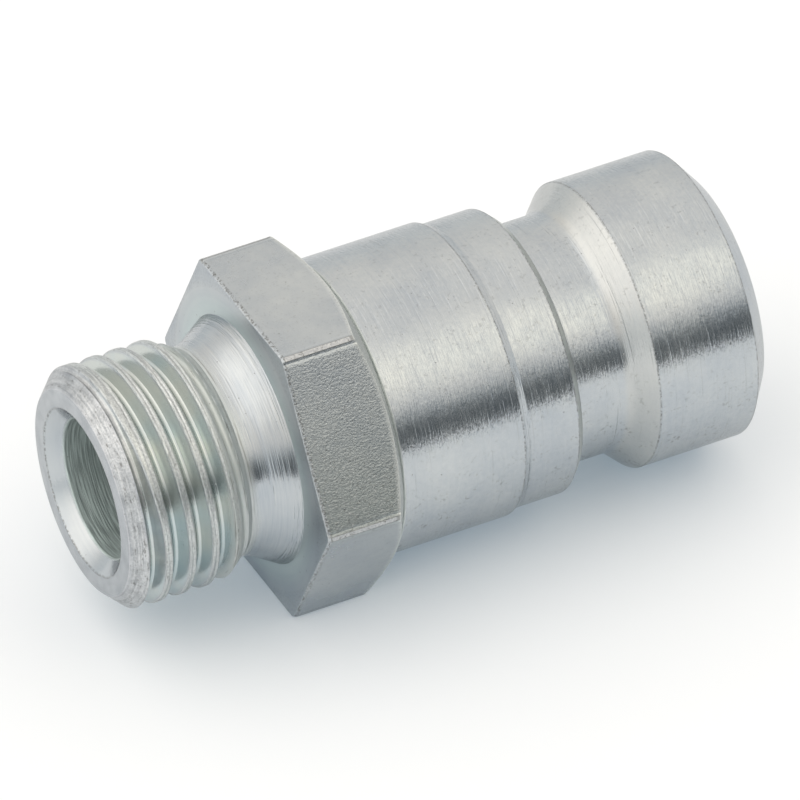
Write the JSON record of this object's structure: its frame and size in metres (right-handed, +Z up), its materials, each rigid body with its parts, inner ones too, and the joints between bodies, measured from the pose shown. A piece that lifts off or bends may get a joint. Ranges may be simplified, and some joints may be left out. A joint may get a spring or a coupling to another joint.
{
  "type": "test probe",
  "caption": "Male half of a flush-face hydraulic test coupling: threaded stud, hexagon, stepped sleeve, locking groove and nose with a sprung poppet.",
  "frame": {"origin": "on the axis, in the plane of the hexagon's shoulder face, which seats on the port", "axes": "+X along the axis from the port stud towards the nose, +Z up and square to one flat of the hexagon"},
  "size_m": [0.0363, 0.0196, 0.017],
  "materials": {
    "zinc_plated_adapter": "zinc plated, turned",
    "zinc_plated_sleeve": "zinc plated, fine turning marks",
    "poppet_steel": "ground",
    "guide_steel": "turned",
    "spring_wire": "drawn wire",
    "nitrile_rubber": "matt",
    "white_plastic": "matt"
  },
  "bodies": {
    "housing": {"adapter": "zinc_plated_adapter", "probe_sleeve": "zinc_plated_sleeve", "joint_o_ring": "nitrile_rubber", "spring_guide": "guide_steel", "poppet_spring": "spring_wire", "poppet_seal": "nitrile_rubber", "backup_ring": "white_plastic"},
    "valve": {"poppet": "poppet_steel"}
  },
  "joints": [
    {"name": "poppet_slide", "type": "slide", "parent": "housing", "child": "valve", "axis": [-1, 0, 0], "range_m": [0, 0.0035], "stiffness_N_per_m": 1500, "springref_m": -0.004, "deforming": ["poppet_spring"]}
  ]
}
